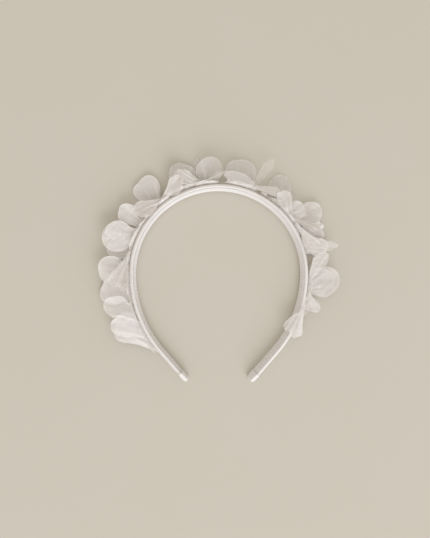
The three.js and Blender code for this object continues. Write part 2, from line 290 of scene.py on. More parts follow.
# %% Sizes of the band
CROWN_RADIUS = 59.4 * MM
CROWN_ANGLE = np.radians(90)
CHEEK_RADIUS = 82 * MM
CHEEK_TURN = np.radians(41)
LEG_LENGTH = 21 * MM
FLARE_RADIUS = 114 * MM
FLARE_TURN = np.radians(3)
STRETCHES = (
    (CROWN_RADIUS * CROWN_ANGLE, 1 / CROWN_RADIUS),
    (CHEEK_RADIUS * CHEEK_TURN, 1 / CHEEK_RADIUS),
    (LEG_LENGTH, 0.0),
    (FLARE_RADIUS * FLARE_TURN, -1 / FLARE_RADIUS),
)
HALF_LENGTH = sum(length for length, _ in STRETCHES)
LEAN_AT_CROWN = np.radians(22)
LEAN_TWIST = np.radians(11)

CORE_HALF_THICKNESS = 0.6 * MM
CORE_HALF_WIDTH = 3.2 * MM
COVER_OUT = 1.1 * MM
COVER_HALF = 3.7 * MM
LINING_MIDDLE = -1.4 * MM
LINING_HALF_WIDTH = 2.3 * MM
TAPE_MIDDLE = 1.45 * MM
TAPE_OUT = 1.7 * MM
TAPE_HALF_WIDTH = 2.8 * MM
SEWING_GAP = 0.5 * MM
TAB_LENGTH = 7 * MM
TIP_NARROWING = 0.28
BAND_END = HALF_LENGTH - 0.65 * MM
TRIM_END = HALF_LENGTH - 7.3 * MM


# %% The centreline and the strip
def hoop_line(distance):
    """The centreline. Each stretch bends by a constant amount per metre, so a run along it moves
    by its chord, which is the run times sin(half turn) / half turn, in the direction halfway
    between its two headings. The left half mirrors the right one. Gives x, y, and the outward
    direction's x and y, for an array of distances from the top of the crown."""
    distance = np.asarray(distance, float)
    side = np.where(distance < 0, -1.0, 1.0)
    left = np.abs(distance)
    x, y = np.zeros_like(left), np.full_like(left, CROWN_RADIUS)
    heading = np.zeros_like(left)
    for length, bend in STRETCHES:
        run = np.clip(left, 0, length)
        turn = bend * run
        chord = run * np.sinc(turn / (2 * np.pi))
        x = x + chord * np.cos(heading - turn / 2)
        y = y + chord * np.sin(heading - turn / 2)
        heading = heading - turn
        left = left - run
    return side * x, y, -side * np.sin(heading), np.cos(heading)


def strip_point(distance, across, up):
    """A point of the strip: the centreline's point, plus the offset across the layers and the
    offset up the width, both turned outwards by the lean. The lean grows evenly from one end to
    the other, the width narrows evenly over the tabs to the tips, and the strip's lowest corner
    always touches the table."""
    x, y, out_x, out_y = hoop_line(distance)
    lean = LEAN_AT_CROWN + LEAN_TWIST * np.asarray(distance) / HALF_LENGTH
    into_tab = np.clip((np.abs(distance) - HALF_LENGTH + TAB_LENGTH) / TAB_LENGTH, 0, 1)
    width_share = 1 - TIP_NARROWING * into_tab
    up = up * width_share
    out = across * np.cos(lean) + up * np.sin(lean)
    middle = COVER_HALF * width_share * np.cos(lean) + COVER_OUT * np.sin(lean)
    z = middle + up * np.cos(lean) - across * np.sin(lean)
    x, y, z = np.broadcast_arrays(x + out * out_x, y + out * out_y, z)
    return np.stack((x, y, z), -1) + HOOP_CENTRE


# The hoop's centre is where the strip's outer corner has the same box as the core of the frame.
HOOP_CENTRE = (0.0, 0.0, 0.0)
core_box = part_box("band_core")
corner = strip_point(np.linspace(-HALF_LENGTH, HALF_LENGTH, 2001), CORE_HALF_THICKNESS, CORE_HALF_WIDTH)
HOOP_CENTRE = ((core_box[0].x + core_box[1].x - corner[:, 0].min() - corner[:, 0].max()) / 2,
               core_box[1].y - corner[:, 1].max(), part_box("band_cover")[0].z)
print(f"centreline {2 * HALF_LENGTH / MM:.1f} mm long, centre at "
      f"{[round(v / MM, 2) for v in HOOP_CENTRE]} mm")

# %% [markdown]
# ## From arrays to meshes
# Each piece is a surface worked out on a grid of two parameters. A cloth is given its thickness
# here too: the grid is copied to both sides of itself and the border is walled, so every cloth is
# one closed body and light and print both know its inside from its outside.


# %% Grids and shells
def grid_faces(rows, columns, start=0, ring=False):
    """The four-sided faces of a grid of points, row by row. A ring's last column joins its first."""
    i = np.arange(rows - 1)[:, None]
    j = np.arange(columns if ring else columns - 1)[None, :]
    a, b = start + i * columns + j, start + i * columns + (j + 1) % columns
    return np.stack((a, b, b + columns, a + columns), -1).reshape(-1, 4)


def grid_normals(points, ring=False):
    """Unit normals: the cross product of the steps down the rows and along the columns."""
    down = np.gradient(points, axis=0)
    if ring:
        along = np.roll(points, -1, 1) - np.roll(points, 1, 1)
    else:
        along = np.gradient(points, axis=1)
    normal = np.cross(down, along)
    return normal / np.maximum(np.linalg.norm(normal, axis=-1, keepdims=True), 1e-12)


def cloth_shell(middle, thickness, ring=False):
    """A closed cloth: the middle surface plus and minus half the thickness along its normal, with
    a wall round the border. Gives points and faces; the two sides' points follow each other, so
    anything told per grid point is told twice."""
    rows, columns = middle.shape[:2]
    offset = grid_normals(middle, ring) * np.asarray(thickness)[..., None] / 2
    points = np.concatenate(((middle + offset).reshape(-1, 3), (middle - offset).reshape(-1, 3)))
    under = rows * columns
    face = grid_faces(rows, columns, 0, ring)
    index = np.arange(under).reshape(rows, columns)
    if ring:
        borders = [index[0], index[-1][::-1]]
    else:
        borders = [np.concatenate((index[0, :-1], index[:-1, -1], index[-1, :0:-1], index[:0:-1, 0]))]
    walls = [np.stack((b, np.roll(b, -1), np.roll(b, -1) + under, b + under), -1) for b in borders]
    return points, np.concatenate((face[:, ::-1], face + under, *walls))


def signed_volume(points, faces):
    """Six times the signed volume: the sum over both triangles of each face of a . (b x c)."""
    a, b, c, d = (points[faces[:, k]] for k in range(4))
    return np.einsum("ij,ij->", a, np.cross(b, c)) + np.einsum("ij,ij->", a, np.cross(c, d))


def put_piece(name, parts, material, nodes, body="root"):
    """Puts closed bodies, given as (points, faces, cloth map, marks), into one mesh object at the
    origin. Marks are named numbers per point that the materials read."""
    counts = np.cumsum([0] + [len(p[0]) for p in parts])
    points = np.concatenate([p[0] for p in parts])
    turned = [f if signed_volume(pt, f) > 0 else f[:, ::-1] for pt, f, _, _ in parts]
    faces = np.concatenate([f + counts[i] for i, f in enumerate(turned)])
    mesh = bpy.data.meshes.new(name)
    mesh.vertices.add(len(points))
    mesh.vertices.foreach_set("co", points.astype(np.float32).ravel())
    mesh.loops.add(faces.size)
    mesh.loops.foreach_set("vertex_index", faces.astype(np.int32).ravel())
    mesh.polygons.add(len(faces))
    mesh.polygons.foreach_set("loop_start", np.arange(0, faces.size, 4, dtype=np.int32))
    mesh.update(calc_edges=True)
    mesh.validate()
    cloth_map = np.concatenate([p[2] for p in parts])
    mesh.uv_layers.new(name="cloth").data.foreach_set(
        "uv", cloth_map[faces.ravel()].astype(np.float32).ravel())
    for mark in parts[0][3]:
        values = np.concatenate([p[3][mark] for p in parts])
        mesh.attributes.new(mark, "FLOAT", "POINT").data.foreach_set("value", values.astype(np.float32))
    mesh.polygons.foreach_set("use_smooth", np.ones(len(faces), bool))
    mesh.materials.append(material)
    piece = bpy.data.objects.new(name, mesh)
    bpy.context.scene.collection.objects.link(piece)
    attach(piece, body)
    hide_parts(*nodes)
    return piece


# %% [markdown]
# ## The springy core
# The core is hidden in the cover, and its plain flat shape is right as it is. It only gets its
# material: an off-white plastic with a faint grain.


# %% Core plastic
def make_core_plastic():
    """Smooth moulded plastic, with the fuzz as a very fine grain."""
    material, tree, shader, place, _ = start_material("core_plastic", 0.45)
    colour = place_group(tree, uneven, {"Place": place, "Clouds per metre": 60.0,
                                        "Light": (0.83, 0.81, 0.76, 1), "Shaded": (0.77, 0.75, 0.69, 1)})
    tree.links.new(colour.outputs["Colour"], shader.inputs["Base Color"])
    raise_surface(tree, shader, colour.outputs["Fuzz"], 0.05 * MM, 0.3)
    return material


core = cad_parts["band_core"]
core.data.materials.clear()
core.data.materials.append(make_core_plastic())
print("band_core keeps its shape and has its plastic")

# %% [markdown]
# ## Cloth wrapped round a strip
# The cover, the lining and the tape are all made the same way on the real band: a ribbon whose
# two long edges are turned to the hidden side. So one function makes the three. Its section is a
# rounded oblong that is left open on the hidden side, where the two edges nearly meet.

# %% Wrapped ribbons
SECTION_SQUARENESS = 6
RIBBON_HEM_GAP = 0.3 * MM


def wrapped_section(half_thickness, half_width, gap, open_side, steps):
    """The section of a wrapped ribbon: the points of |across / a| ^ n + |up / b| ^ n = 1, taken by
    the angle round it, with both coordinates the sign and the power 2 / n of its cosine and sine.
    The angles start and end beside the open side, half the gap away, and are spaced evenly."""
    start = np.arcsin((gap / 2 / half_width) ** (SECTION_SQUARENESS / 2))
    angle = np.linspace(start, 2 * np.pi - start, steps)
    power = 2 / SECTION_SQUARENESS
    across = open_side * half_thickness * np.sign(np.cos(angle)) * np.abs(np.cos(angle)) ** power
    up = half_width * np.sign(np.sin(angle)) * np.abs(np.sin(angle)) ** power
    return across, up


def even_steps(across, up, steps):
    """The same section with its points at even distances along it, and those distances."""
    run = np.concatenate(([0.0], np.cumsum(np.hypot(np.diff(across), np.diff(up)))))
    even = np.linspace(0, run[-1], steps)
    return np.interp(even, run, across), np.interp(even, run, up), even


def wrapped_ribbon(middle, half_thickness, half_width, gap, open_side, end, steps, relief, thickness):
    """Carries a wrapped section along the strip from -end to end. relief(distance, up, facing)
    raises the cloth along its own outward direction, where facing is 1 on the face that shows."""
    across, up = wrapped_section(half_thickness, half_width, gap, open_side, 40 * steps)
    across, up, run = even_steps(across, up, steps)
    count = int(round(2 * end / (0.5 * MM))) + 1
    distance = np.linspace(-end, end, count)[:, None]
    facing = np.clip(-across * open_side / half_thickness, 0, 1)[None, :]
    raised = relief(distance, up[None, :], facing)
    away_across = np.gradient(up)
    away_up = -np.gradient(across)
    size = np.hypot(away_across, away_up) * open_side
    surface = strip_point(distance, middle + across + raised * away_across / size,
                          up + raised * away_up / size)
    points, faces = cloth_shell(surface, np.full(surface.shape[:2], thickness))
    cloth_map = np.stack(np.broadcast_arrays(run[None, :], distance), -1).reshape(-1, 2)
    marks = {"groove": np.broadcast_to(-raised / MM, surface.shape[:2]).ravel()}
    return points, faces, np.tile(cloth_map, (2, 1)), {k: np.tile(v, 2) for k, v in marks.items()}, run[-1]


# %% [markdown]
# ## The cover
# A smooth, slightly lustrous cloth pulled round the core from outside. It is taut, so it only
# shows long shallow ripples where it is drawn over the edges. The ripples are in the mesh, and
# the fine weave is a bump.

# %% The cover's cloth
COVER_CLOTH_THICKNESS = 0.25 * MM
COVER_HEM_GAP = 1.8 * MM


def cover_relief(distance, up, facing):
    """Shallow ripples: two slow waves along the band, slanted by the place across it, and
    strongest on the face that shows."""
    slanted = distance + 0.8 * up
    ripple = np.sin(slanted / (1.9 * MM)) + np.sin(slanted / (3.1 * MM) + 1.3)
    return 0.035 * MM * ripple * (0.4 + 0.6 * facing)


def make_cover_cloth():
    """A fine weave that is nearly smooth, uneven in colour over a few millimetres."""
    material, tree, shader, place, cloth = start_material("cover_cloth", 0.75, sheen=0.15)
    threads = place_group(tree, weave, {"Place": cloth, "Threads per metre": 3600.0})
    colour = place_group(tree, uneven, {"Place": place, "Clouds per metre": 240.0,
                                        "Light": (0.855, 0.825, 0.802, 1), "Shaded": (0.795, 0.76, 0.737, 1)})
    tree.links.new(colour.outputs["Colour"], shader.inputs["Base Color"])
    raise_surface(tree, shader, threads.outputs["Height"], 0.05 * MM, 0.35)
    return material


cover_cloth = make_cover_cloth()
*cover_part, cover_width = wrapped_ribbon(
    0.0, COVER_OUT - COVER_CLOTH_THICKNESS / 2, COVER_HALF - COVER_CLOTH_THICKNESS / 2, COVER_HEM_GAP,
    -1, BAND_END, 64, cover_relief, COVER_CLOTH_THICKNESS)
cover = put_piece("cover_cloth", [cover_part], cover_cloth, ["band_cover"])
print(f"cover cut {cover_width / MM:.1f} mm wide, {len(cover.data.polygons)} faces")

# %% [markdown]
# ## The ribbed lining
# The ribbon against the hair is woven with a thick rib every two and a half millimetres, so that
# it grips. A stitch hole is pulled in at the middle of each groove. Ribs this size show in
# outline, so they are raised in the mesh, and their grooves and stitch holes are darkened with
# painted shade that grows with their depth.

# %% The lining ribbon
RIB_PITCH = 2.5 * MM
RIB_HEIGHT = 0.13 * MM
STITCH_DEPTH = 0.13 * MM
STITCH_HALF_WIDTH = 0.55 * MM
LINING_THICKNESS = 0.1 * MM
LINING_FOLD = 0.14 * MM


def lining_relief(distance, up, facing):
    """Ribs and stitch holes. A rib is high over most of its pitch and drops in a narrow groove:
    minus the rib height times the 6th power of |cos| of half a turn per pitch. A stitch hole is a
    dip in the middle of each groove, a bell curve of the distance up the ribbon. Both are pressed
    flatter over the crown and grow evenly to their full depth down the legs."""
    worn = 0.3 + 0.7 * np.clip(np.abs(distance) / (0.6 * HALF_LENGTH) - 0.25, 0, 1)
    groove = worn * np.abs(np.cos(np.pi * distance / RIB_PITCH)) ** 6
    pulled = np.exp(-((up / STITCH_HALF_WIDTH) ** 2))
    hole = worn * pulled * np.abs(np.cos(np.pi * distance / RIB_PITCH)) ** 14
    return -(RIB_HEIGHT * groove + STITCH_DEPTH * hole) * facing ** 3


def make_lining_ribbon():
    """A fine weave, with painted shade: its colour darkens by the depth of the grooves between the ribs and of
    the stitch holes.
    """
    material, tree, shader, place, cloth = start_material("lining_ribbon", 0.8, sheen=0.15)
    threads = place_group(tree, weave, {"Place": cloth, "Threads per metre": 3000.0})
    colour = place_group(tree, uneven, {"Place": place, "Clouds per metre": 320.0,
                                        "Light": (0.85, 0.815, 0.80, 1), "Shaded": (0.80, 0.76, 0.745, 1)})
    # Painted shade: the colour darkens towards a shade colour with the depth of the grooves and stitch holes.
    groove = add_node(tree, "ShaderNodeAttribute", attribute_name="groove")
    depth = add_node(tree, "ShaderNodeMapRange", inputs={"Value": groove.outputs["Fac"], "From Min": 0.03,
                                                         "From Max": 0.26, "To Min": 0.0, "To Max": 1.0})
    painted_groove_shade = add_node(tree, "ShaderNodeMix", data_type="RGBA",
                    inputs={"Factor": depth.outputs[0], 6: colour.outputs["Colour"],
                            7: (0.66, 0.605, 0.585, 1)})
    tree.links.new(painted_groove_shade.outputs[2], shader.inputs["Base Color"])
    raise_surface(tree, shader, threads.outputs["Height"], 0.06 * MM, 0.5)
    return material


*lining_part, lining_width = wrapped_ribbon(
    LINING_MIDDLE, LINING_FOLD, LINING_HALF_WIDTH - LINING_THICKNESS / 2, RIBBON_HEM_GAP, 1, TRIM_END,
    56, lining_relief, LINING_THICKNESS)
lining = put_piece("lining_ribbon", [lining_part], make_lining_ribbon(), ["band_lining"])
print(f"lining ribbon {lining_width / MM:.1f} mm round, ribs every {RIB_PITCH / MM} mm")

# %% [markdown]
# ## The petal tape
# The petals are sewn to a soft tape that runs along the outer face. It has a woven edge on both
# sides and a slight pucker where the thread pulls it in.

# %% The tape ribbon
TAPE_THICKNESS = 0.14 * MM


def tape_relief(distance, up, facing):
    """Puckers: a wave along the tape, strongest in its middle, plus a raised woven edge."""
    pucker = 0.06 * MM * np.sin(distance / (0.8 * MM)) * np.exp(-((up / (1.6 * MM)) ** 2))
    edge = 0.05 * MM * np.exp(-(((np.abs(up) - 2.2 * MM) / (0.25 * MM)) ** 2))
    return (pucker + edge) * facing


def make_tape_ribbon():
    """A plain matt tape with a coarser weave."""
    material, tree, shader, place, cloth = start_material("tape_ribbon", 0.75, sheen=0.2)
    threads = place_group(tree, weave, {"Place": cloth, "Threads per metre": 2600.0})
    colour = place_group(tree, uneven, {"Place": place, "Clouds per metre": 260.0,
                                        "Light": (0.85, 0.81, 0.79, 1), "Shaded": (0.78, 0.735, 0.71, 1)})
    tree.links.new(colour.outputs["Colour"], shader.inputs["Base Color"])
    raise_surface(tree, shader, threads.outputs["Height"], 0.06 * MM, 0.5)
    return material


*tape_part, tape_width = wrapped_ribbon(
    TAPE_MIDDLE, TAPE_OUT - TAPE_MIDDLE - TAPE_THICKNESS / 2, TAPE_HALF_WIDTH - TAPE_THICKNESS / 2,
    RIBBON_HEM_GAP, -1, TRIM_END, 48, tape_relief, TAPE_THICKNESS)
tape = put_piece("tape_ribbon", [tape_part], make_tape_ribbon(), ["petal_tape"])
print(f"tape cut {tape_width / MM:.1f} mm wide")

# %% [markdown]
# ## The folded ends
# At each end the cover cloth is folded over and stitched shut, with its mouth turned in. The end
# is a cup in one piece: a ring of cloth that starts inside the mouth, turns over, runs to the tip
# and closes there in a flat seam.

# %% End tabs
TAB_CLOTH = 0.2 * MM
TAB_TURNED_IN = 2.2 * MM
TAB_HALF_THICKNESS, TURNED_IN_LESS = 1.46 * MM, 0.14 * MM
TAB_HALF_WIDTH, TURNED_IN_NARROWER = 4.02 * MM, 0.16 * MM


def tab_part(side):
    """Rings round the strip. The distance along runs from inside the mouth, over its fold and out
    to the tip; the ring's thickness across shrinks to a seam over the last millimetres, and its
    width by a quarter, both as the cube of the way into the tip."""
    way = np.concatenate((np.linspace(-TAB_TURNED_IN, -0.15 * MM, 8), np.linspace(0.0, TAB_LENGTH, 44)))
    inside = np.clip(-way / (0.3 * MM), 0, 1)
    distance = side * (HALF_LENGTH - TAB_LENGTH + np.abs(way))
    tip = np.clip((way / TAB_LENGTH - 0.84) / 0.16, 0, 1) ** 3
    half_thickness = (TAB_HALF_THICKNESS - TURNED_IN_LESS * inside) * (1 - 0.9 * tip)
    half_width = (TAB_HALF_WIDTH - TURNED_IN_NARROWER * inside) * (1 - 0.26 * tip)
    angle = np.linspace(0, 2 * np.pi, 72, endpoint=False)
    power = 2 / SECTION_SQUARENESS
    across = np.sign(np.cos(angle)) * np.abs(np.cos(angle)) ** power
    up = np.sign(np.sin(angle)) * np.abs(np.sin(angle)) ** power
    crease = 0.07 * MM * np.sin(4 * angle + way[:, None] / (0.9 * MM)) * (way[:, None] > 0)
    surface = strip_point(distance[:, None], (half_thickness[:, None] + crease) * across,
                          half_width[:, None] * up)
    points, faces = cloth_shell(surface, np.full(surface.shape[:2], TAB_CLOTH), ring=True)
    cloth_map = np.stack(np.broadcast_arrays(angle * 3 * MM, way[:, None]), -1).reshape(-1, 2)
    return points, faces, np.tile(cloth_map, (2, 1)), {"groove": np.zeros(len(points))}


for word, side in (("left", -1), ("right", 1)):
    tab = put_piece(f"end_cloth_{word}", [tab_part(side)], cover_cloth, [f"end_tab_{word}"])
print("two folded ends")

# %% [markdown]
# ## Where each petal sits
# The petals were sewn on by hand and no two lie alike, so their places are a list, the same as
# the frame's. Each flower sits at a share of the half length from the top of the crown, + to the
# right. Each petal says how far along, up and out of the tape it starts, how it is turned, raised
# and rolled, how long and wide it is, and how much it cups and curls.
#
# `make` says how the cloth is made up: `open` is one layer, `wide` is one layer gathered along a
# longer run of stitches, `double` is two layers, and `folded_left` and `folded_right` are one
# disc folded in half, with the fold on that side. `pleats` is how many pleats the gather makes.
# `body` is the share of light that the flat cloth stops, low where the table shows through.

# %% The flowers
Petal = namedtuple("Petal", "along up out turn rise roll length width cup curl make pleats body")
FLOWERS = {
    "flower_1": (-0.75, (
        Petal(-10.5, -1.6, 0, -64, 3, 0, 28, 17, 1, 1, "wide", 2, 0.86),
        Petal(0, 0.4, 0, -48, 8, 0, 22, 17, 1, 1, "wide", 2, 0.76),
        Petal(14, 2.8, 0, -38, 18, 0, 21, 16, 1, 1, "wide", 3, 0.5),
    )),
    "flower_2": (-0.53, (
        Petal(-11, -2, 0, -16, -3, 0, 22, 20, 1, 1, "wide", 3, 0.95),
        Petal(1, 0.5, 0, -12, 8, 0, 21, 19, 1, 1, "open", 3, 0.7),
        Petal(12, 2.4, 1, 78, 22, 0, 23, 13, 2, 1, "folded_left", 2, 0.55),
    )),
    "flower_3": (-0.36, (
        Petal(-8, -2, 0, 36, -3, 0, 20, 17, 1, 0, "wide", 3, 1.0),
        Petal(-4, 1, 0, 22, 10, 0, 24, 21, 1, 1, "double", 2, 0.62),
        Petal(5, -1, 0, -4, 6, 0, 20, 14, 2, 1, "open", 4, 0.7),
        Petal(11, 2, 0, -6, 20, 0, 8, 6, 1, 1, "open", 2, 0.3),
    )),
    "flower_4": (-0.22, (
        Petal(-6, -1.8, 0, -16, 0, 0, 25, 18, 1, 1, "open", 3, 0.62),
        Petal(1, 1.8, 1.6, 80, 18, 20, 21, 13, 1, 1, "folded_left", 3, 0.6),
        Petal(2, 2.6, 1.6, -80, 26, -20, 19, 12, 1, 1, "folded_right", 2, 0.6),
    )),
    "flower_5": (-0.09, (
        Petal(-4, -1.8, 0, 2, 0, 0, 20, 18, 1, 1, "open", 3, 0.55),
        Petal(6, 1, 0, 58, 14, 20, 20, 11, 1, 1, "folded_left", 3, 0.45),
        Petal(-11, 0.8, 0.4, -86, 0, -60, 12, 4, 0, 0, "open", 1, 1.0),
    )),
    "flower_6": (-0.02, (
        Petal(-3, -2, 0, 8, -4, 0, 21, 12, 0, 0, "open", 3, 0.4),
        Petal(-2, 0.4, 0, -2, 8, 0, 18, 18, 1, 1, "open", 3, 0.36),
        Petal(-10, 3.4, 0.8, -80, 10, -70, 20, 5, 0, 0, "folded_left", 1, 0.65),
    )),
    "flower_7": (0.1, (
        Petal(-2, -1.8, 0, 15, 0, 0, 21, 20, 1, 1, "open", 3, 0.4),
        Petal(-5, 2, 0.4, -4, 58, 0, 14, 22, 1, 1, "wide", 1, 0.36),
        Petal(5, 1, 0, -10, 12, 30, 24, 8, 1, 0, "open", 2, 0.15),
        Petal(0, 3.3, 1.4, -86, 9, -40, 24, 9, 0, 0, "folded_left", 2, 0.9),
        Petal(13, 0.8, 1, -84, 12, -50, 13, 6, 0, 0, "open", 1, 0.95),
    )),
    "flower_8": (0.27, (
        Petal(-6, -2, 0, 26, -2, 0, 22, 16, 1, 0, "open", 3, 0.38),
        Petal(6, 2.6, 1, 72, 20, 0, 20, 10, 1, 1, "open", 2, 0.42),
        Petal(2, 0.6, 0, -18, 18, 0, 15, 12, 1, 1, "wide", 2, 0.55),
        Petal(8, -1.8, 0, -16, 2, 0, 24, 17, 1, 1, "open", 3, 0.55),
        Petal(4, 1.4, 1, -66, 14, -50, 22, 9, 0, 0, "folded_left", 2, 0.75),
    )),
    "flower_9": (0.38, (
        Petal(-6, -2, 0, -34, -3, 0, 22, 12, 0, 0, "open", 3, 0.95),
        Petal(-6, 2.4, 1, -82, 18, -10, 21, 11, 1, 0, "wide", 1, 0.95),
        Petal(4, 0.6, 0, -28, 9, 30, 23, 8, 1, 0, "open", 2, 0.35),
        Petal(8, -0.8, 0, -12, 1, 0, 17, 13, 0, 0, "open", 3, 0.9),
    )),
    "flower_10": (0.57, (
        Petal(-5, -2, 0, 30, -4, 0, 18, 15, 0, 0, "open", 3, 0.5),
        Petal(-3, 2, 0, 66, 18, 0, 22, 10, 1, 1, "folded_left", 1, 0.34),
        Petal(1, 0.2, 0, 26, 7, 0, 22, 21, 1, 1, "double", 3, 0.5),
        Petal(5, 1.8, 0, -56, 10, 0, 14, 10, 1, 1, "open", 4, 0.95),
        Petal(12, -1, 0, 6, 0, 0, 10, 6, 0, 0, "open", 2, 0.5),
    )),
    "flower_11": (0.66, (
        Petal(-6, 5.4, -2, -103, 3, 0, 25, 12, -1, 0, "wide", 1, 0.55),
        Petal(1, 1, 1, -80, 6, -50, 17, 7, 0, 0, "folded_left", 2, 0.6),
    )),
}
print(f"{len(FLOWERS)} flowers, {sum(len(p) for _, p in FLOWERS.values())} petals")

# %% [markdown]
# ## The sheer cloth
# Organza is a very fine, stiff, open weave: one layer lets about half of the light through, and
# layers add up to white. The petals are cut with a hot blade, which melts a thin bright bead
# along the edge. So the see-through share is worked out point by point on the mesh, from the
# gathers, the folds and the bead, and the material only adds the weave. A cloth has two faces,
# and each petal is a closed body, so the faces that look away are made clear: one layer of cloth
# is then seen once.


# %% The organza material
def make_organza():
    """Sheer cloth. The mesh's marks set how solid it is and how far its colour is lifted to a pale one,
    and the weave varies how solid. The pale lift is the bead's own paler edge at the rims, and
    painted highlight on the folds, the pleat crests and the gathers. The back of every face is
    clear, so a thin shell counts as one layer."""
    material, tree, shader, place, cloth = start_material("organza", 0.6, sheen=0.35, sheen_roughness=0.4)
    threads = place_group(tree, weave, {"Place": cloth, "Threads per metre": 3400.0})
    colour = place_group(tree, uneven, {"Place": place, "Clouds per metre": 150.0,
                                        "Light": (0.885, 0.846, 0.825, 1), "Shaded": (0.825, 0.785, 0.762, 1)})
    # Painted highlight: the 'bright' mark lifts the colour to a pale one on folds, pleat crests and gathers;
    # at rims and free edges it is the bead's own paler edge.
    bright = add_node(tree, "ShaderNodeAttribute", attribute_name="bright")
    mixed = add_node(tree, "ShaderNodeMix", data_type="RGBA",
                     inputs={"Factor": bright.outputs["Fac"], 6: colour.outputs["Colour"],
                             7: (0.97, 0.935, 0.89, 1)})
    tree.links.new(mixed.outputs[2], shader.inputs["Base Color"])
    solid = add_node(tree, "ShaderNodeAttribute", attribute_name="solid")
    woven = maths(tree, "MULTIPLY", maths(tree, "SUBTRACT", threads.outputs["Height"], 0.6), 0.25)
    front = maths(tree, "SUBTRACT", 1.0, add_node(tree, "ShaderNodeNewGeometry").outputs["Backfacing"])
    cover = maths(tree, "ADD", solid.outputs["Fac"], woven)
    clamped = maths(tree, "MINIMUM", maths(tree, "MAXIMUM", cover, 0.0), 1.0)
    tree.links.new(maths(tree, "MULTIPLY", clamped, front), shader.inputs["Alpha"])
    raise_surface(tree, shader, threads.outputs["Height"], 0.04 * MM, 0.25)
    return material


organza = make_organza()
print("organza: weave, bead and gathers in its see-through share")

# %% [markdown]
# ## The petals
# A petal starts as a disc of cloth. One side is drawn together by the thread, so it becomes a
# drop: spokes fan out from the gathered point to the round rim. The pleats of the gather run
# along the spokes and fade outwards, the rim waves, and the whole sheet is crisp, so it also
# carries small sharp crinkles. All of that is a height over the drop's plane, worked out for
# the whole grid at once.

# %% Petal sizes
PETAL_ROUNDNESS = 0.92
STEM_SHARE = 0.02
HEM_SHARE, WIDE_HEM_SHARE = 0.34, 0.56
HEM_LEAST = 1.4 * MM
ORGANZA_THICKNESS = 0.1 * MM
BEAD_THICKNESS = 0.22 * MM
BEAD_WIDTH = 0.45 * MM
PLEAT_DEPTH = 0.16 * MM
RUFFLE_HEIGHT = 0.55 * MM
CRINKLE_HEIGHT = 0.1 * MM
LAYER_STEP = 0.55 * MM
ROWS, COLUMNS, FOLDED_COLUMNS = 44, 56, 100
FRILL_ROWS, FRILL_COLUMNS = 16, 48
FRILL_HALF_WIDTH = 7.5 * MM
FRILL_TOP = 5.4 * MM
FRILL_FLARE = 1.1 * MM
FRILL_FOLD = 0.22 * MM


def edged_steps(count, crowd_start):
    """Steps from 0 to 1 that crowd towards 1, and towards 0 too if asked: the sine of a quarter
    turn, or the half cosine of half a turn, softened with the plain steps."""
    plain = np.linspace(0, 1, count)
    crowded = (1 - np.cos(np.pi * plain)) / 2 if crowd_start else np.sin(np.pi / 2 * plain)
    return 0.35 * plain + 0.65 * crowded


def petal_axes(distance, turn, rise, roll):
    """Unit vectors along, across and away from a petal's plane: the band's outward direction,
    turned about the vertical, raised, and rolled about its own axis."""
    _, _, out_x, out_y = hoop_line(distance)
    azimuth = np.arctan2(out_y, out_x) + np.radians(turn)
    rise, roll = np.radians(rise), np.radians(roll)
    along = np.array((np.cos(azimuth) * np.cos(rise), np.sin(azimuth) * np.cos(rise), np.sin(rise)))
    level = np.array((-np.sin(azimuth), np.cos(azimuth), 0.0))
    above = np.cross(along, level)
    across = level * np.cos(roll) + above * np.sin(roll)
    return along, across, np.cross(along, across)


def crinkles(p, q, draw):
    """Crisp small waves: a sum of folded sines, |sin| with its mean taken off, whose directions,
    lengths of 3 to 8 mm and phases are drawn for each petal."""
    total = np.zeros(np.broadcast(p, q).shape)
    for _ in range(5):
        direction, wave, phase = draw.uniform(0, np.pi), draw.uniform(3, 8) * MM, draw.uniform(0, 6.28)
        place = (p * np.cos(direction) + q * np.sin(direction)) / wave
        total = total + np.abs(np.sin(np.pi * place + phase)) - 2 / np.pi
    return CRINKLE_HEIGHT * total


def fan_places(make):
    """The places across the fan that the grid's columns take, from -1 to 1, and a number from -1
    to 1 that tells the cloth's two leaves apart. An open cloth crosses the fan once. A folded one
    comes from the side with the two free edges, turns round at the fold and goes back, so its
    place is the fold's side times 1 - 2 |t|, and its columns crowd at the fold."""
    if not make.startswith("folded"):
        place = 2 * edged_steps(COLUMNS, True) - 1
        return place[None, :], np.zeros((1, COLUMNS))
    t = np.linspace(-1, 1, FOLDED_COLUMNS)
    t = np.sign(t) * np.abs(t) ** 1.5
    fold = 1 if make == "folded_left" else -1
    return (fold * (1 - 2 * np.abs(t)))[None, :], np.tanh(t / 0.04)[None, :]


